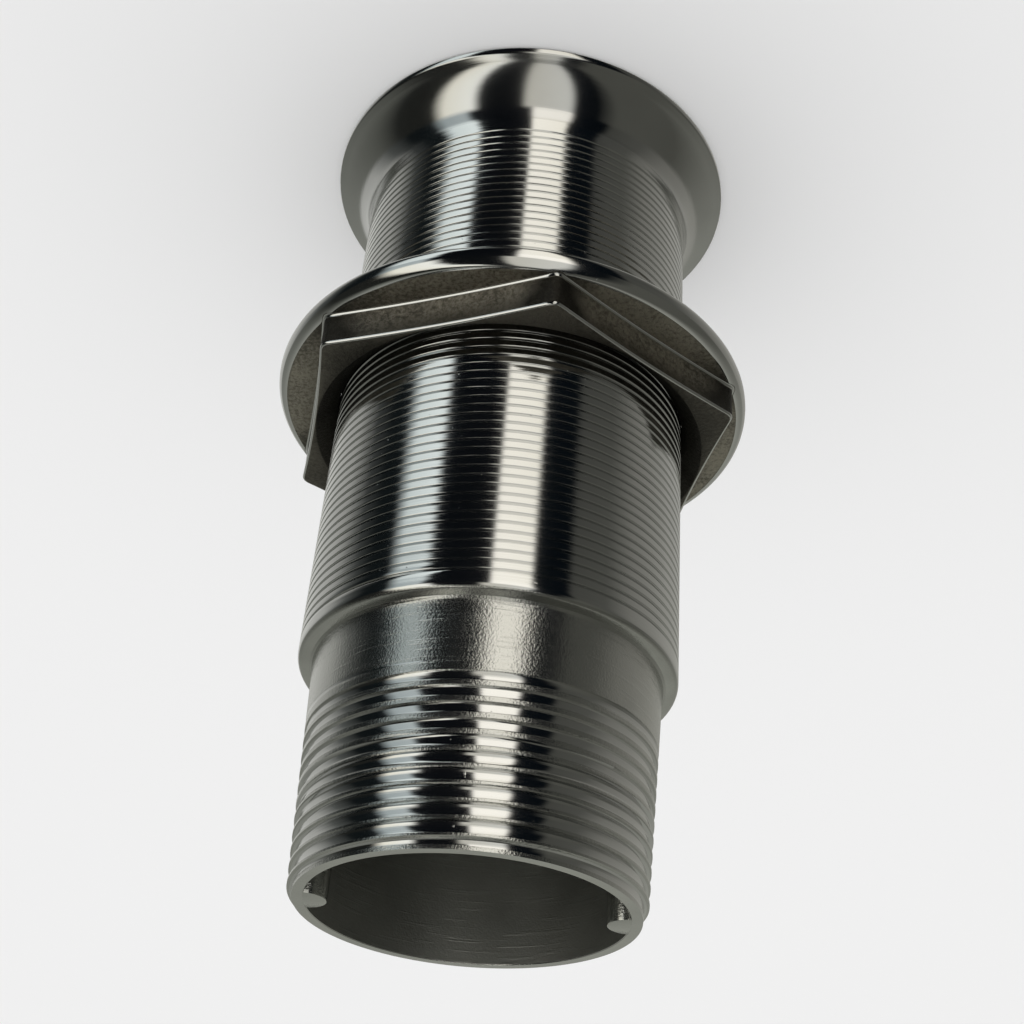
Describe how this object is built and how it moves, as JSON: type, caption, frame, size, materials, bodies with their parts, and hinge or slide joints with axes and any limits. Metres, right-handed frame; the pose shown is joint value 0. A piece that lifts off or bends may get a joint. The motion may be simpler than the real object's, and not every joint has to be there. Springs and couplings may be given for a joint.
{
  "type": "thru hull fitting",
  "caption": "Flared-head stainless thru-hull fitting with a straight-threaded barrel, a tapered pipe-thread tail and a flanged hex nut that screws along the barrel.",
  "frame": {"origin": "centre of the head face, on the waterway's axis", "axes": "+Z along the waterway from the flared head to the tapered tail; the two wrench lugs in the bore lie on +X and -X"},
  "size_m": [0.075, 0.075, 0.131],
  "materials": {
    "fitting_steel": "turned and polished stainless steel, satin as-cast band and bore",
    "nut_steel": "grainy as-cast stainless steel with a polished flange rim"
  },
  "bodies": {
    "fitting": {"fitting_body": "fitting_steel"},
    "nut_carrier": {"nut_lip_ring": "nut_steel"},
    "nut": {"flange_nut": "nut_steel"}
  },
  "joints": [
    {"name": "nut_travel", "type": "slide", "parent": "fitting", "child": "nut_carrier", "axis": [0, 0, 1], "range_m": [-0.0346, 0.0406]},
    {"name": "nut_turn", "type": "hinge", "parent": "nut_carrier", "child": "nut", "pos_m": [0, 0, 0.0465], "axis": [0, 0, 1], "range_deg": [-8280, 9720]}
  ],
  "couplings": [
    {"joint": "nut_travel", "follows": "nut_turn", "m_per_rad": 0.00023873}
  ]
}
